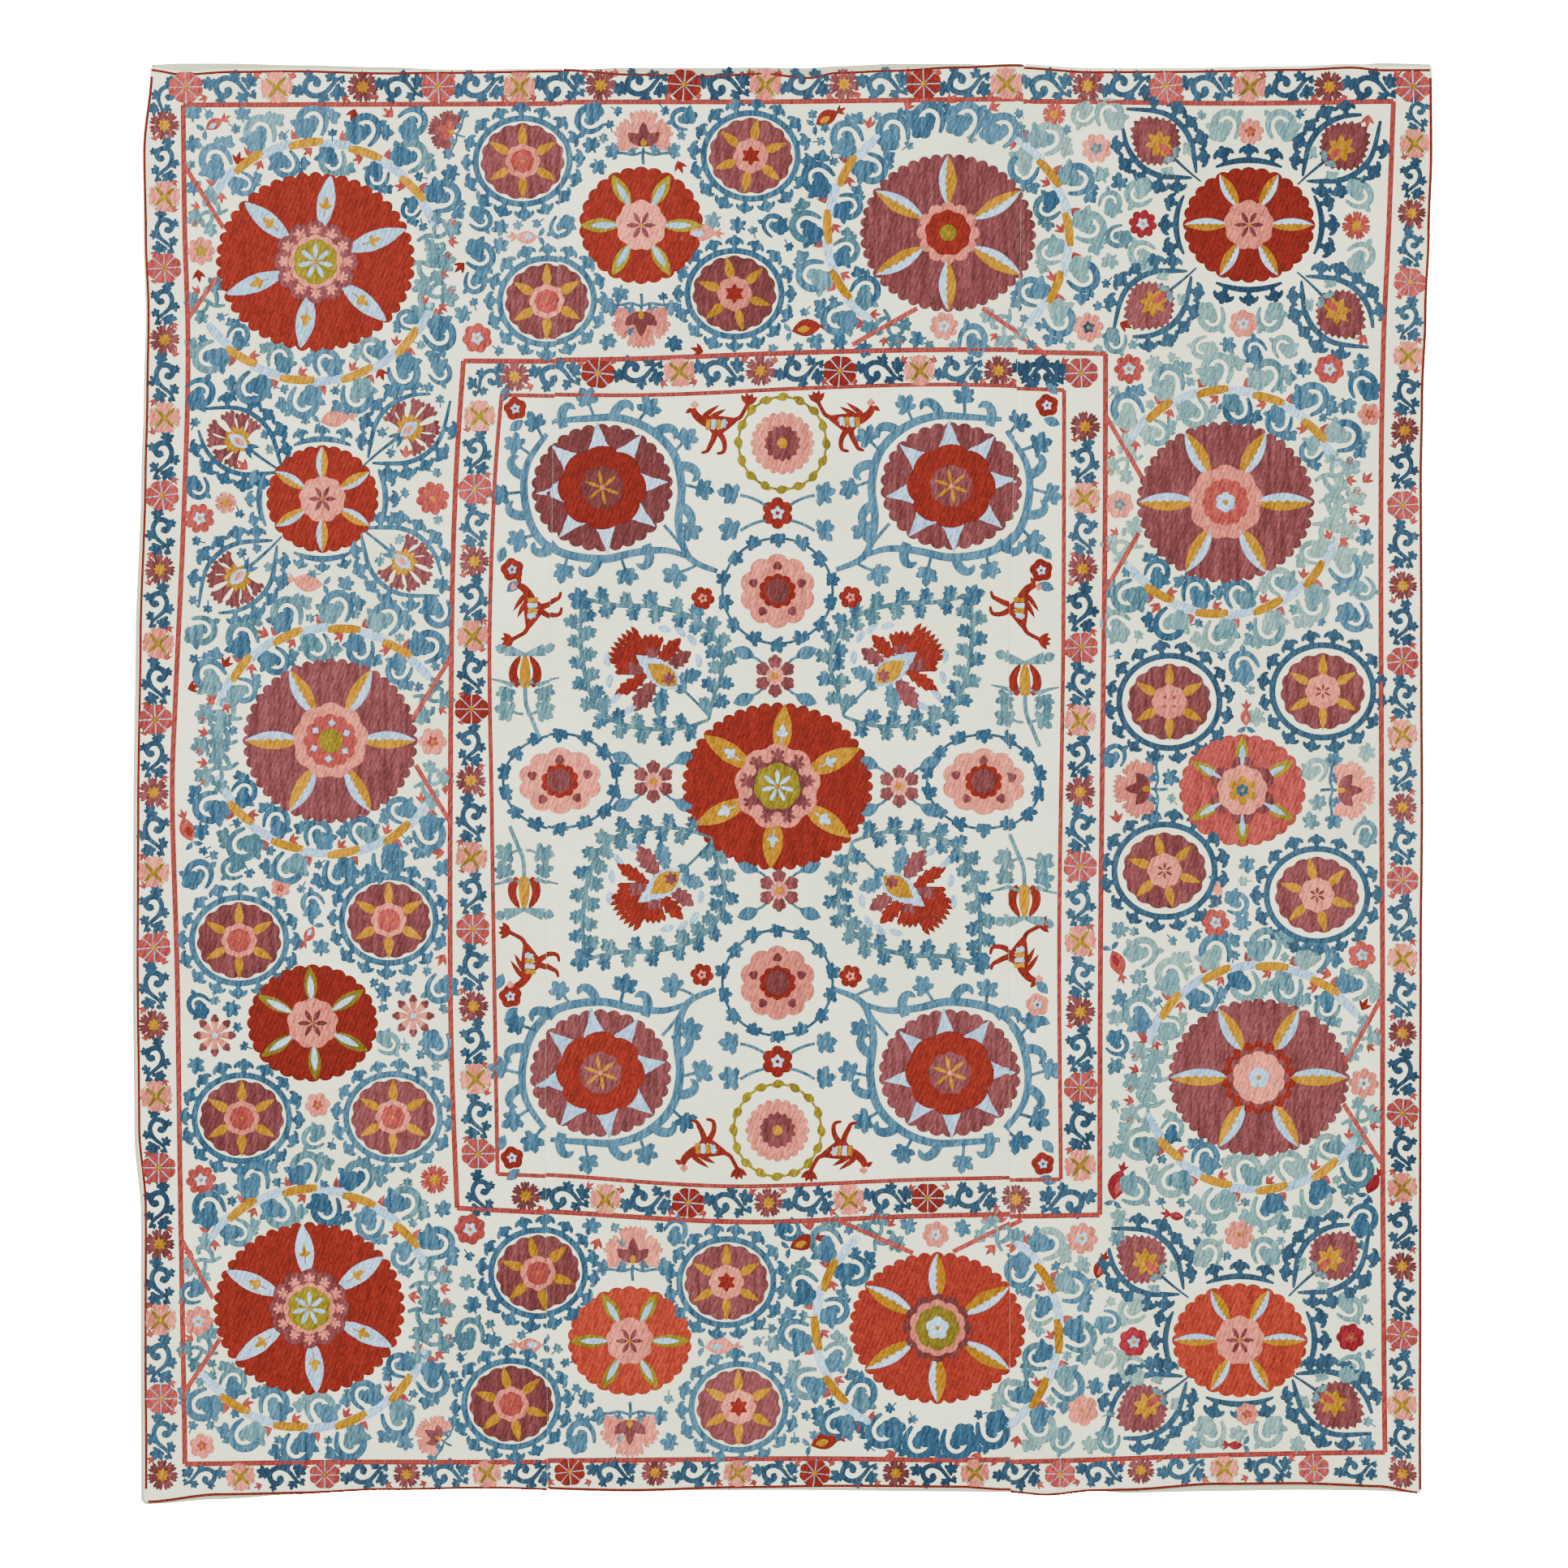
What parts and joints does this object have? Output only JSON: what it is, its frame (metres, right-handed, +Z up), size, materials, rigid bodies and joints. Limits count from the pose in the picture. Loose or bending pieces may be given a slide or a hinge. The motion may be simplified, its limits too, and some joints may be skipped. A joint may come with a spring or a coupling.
{
  "type": "embroidered wall hanging",
  "caption": "Square embroidered wall hanging of three sewn cotton widths with a plain lining, worked all over with flower medallions, leafy scrolls and a double border.",
  "frame": {"origin": "middle of the top edge, in the mean plane of the hanging cloth, where it hangs", "axes": "+Z up, the embroidered face looks along -Y, +X to the viewer's right"},
  "size_m": [1.9228, 0.0291, 2.1299],
  "materials": {
    "panel_left": "handwoven cotton worked in coloured silk",
    "panel_centre": "handwoven cotton worked in coloured silk",
    "panel_right": "handwoven cotton worked in coloured silk",
    "lining": "plain undyed cotton"
  },
  "bodies": {
    "root": {"panel_left": "panel_left", "panel_centre": "panel_centre", "panel_right": "panel_right", "lining": "lining"}
  },
  "joints": []
}
